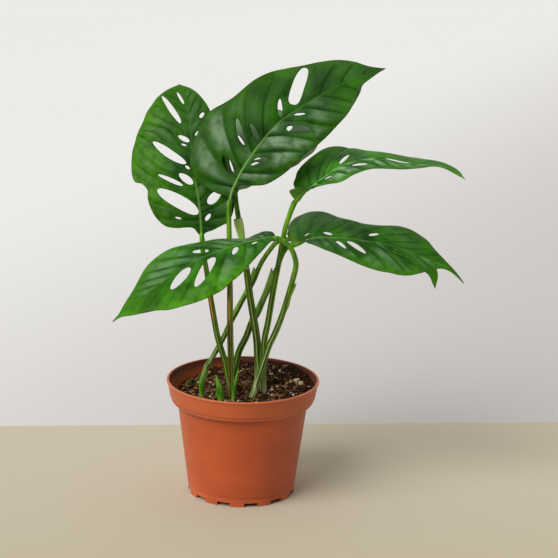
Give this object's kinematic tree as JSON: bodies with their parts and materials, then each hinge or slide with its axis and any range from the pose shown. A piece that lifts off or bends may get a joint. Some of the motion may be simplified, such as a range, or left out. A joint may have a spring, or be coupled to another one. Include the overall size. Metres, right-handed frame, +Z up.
{
  "type": "potted swiss cheese vine",
  "caption": "Young swiss cheese vine with holed leaf blades on long stalks, planted in a tapered plastic nursery pot with a collared rim and a notched foot.",
  "frame": {"origin": "middle of the whole plant's bounding box, on the surface that the pot stands on; the pot's axis is 45 mm towards -X from it", "axes": "+Z up; +X towards the tips of the two right hand leaves as the picture shows them; the picture looks roughly along +Y"},
  "size_m": [0.335, 0.194, 0.433],
  "materials": {
    "pot_plastic": "satin",
    "potting_mix": "matte",
    "leaf_blade": "satin",
    "petiole": "satin",
    "young_shoot": "satin",
    "strand": "matte",
    "old_leaf": "matte",
    "perlite": "matte",
    "bark": "matte",
    "root_fibre": "matte"
  },
  "bodies": {
    "root": {"pot": "pot_plastic", "soil": "potting_mix", "leaf_back_left": "leaf_blade", "petiole_back_left": "petiole", "leaf_top": "leaf_blade", "petiole_top": "petiole", "leaf_front_left": "leaf_blade", "petiole_front_left": "petiole", "leaf_upper_right": "leaf_blade", "petiole_upper_right": "petiole", "leaf_lower_right": "leaf_blade", "petiole_lower_right": "petiole", "leaf_behind_top": "leaf_blade", "petiole_behind_top": "petiole", "leaf_under_right": "leaf_blade", "petiole_under_right": "petiole", "shoot_1": "young_shoot", "shoot_2": "young_shoot", "shoot_3": "young_shoot", "shoot_4": "young_shoot", "strand": "strand", "old_leaf": "old_leaf", "perlite_1": "perlite", "perlite_2": "perlite", "perlite_3": "perlite", "perlite_4": "perlite", "perlite_5": "perlite", "perlite_6": "perlite", "perlite_7": "perlite", "perlite_8": "perlite", "perlite_9": "perlite", "bark_chip_1": "bark", "bark_chip_2": "bark", "bark_chip_3": "bark", "bark_chip_4": "bark", "bark_chip_5": "bark", "fibre_tuft": "root_fibre"}
  },
  "joints": []
}
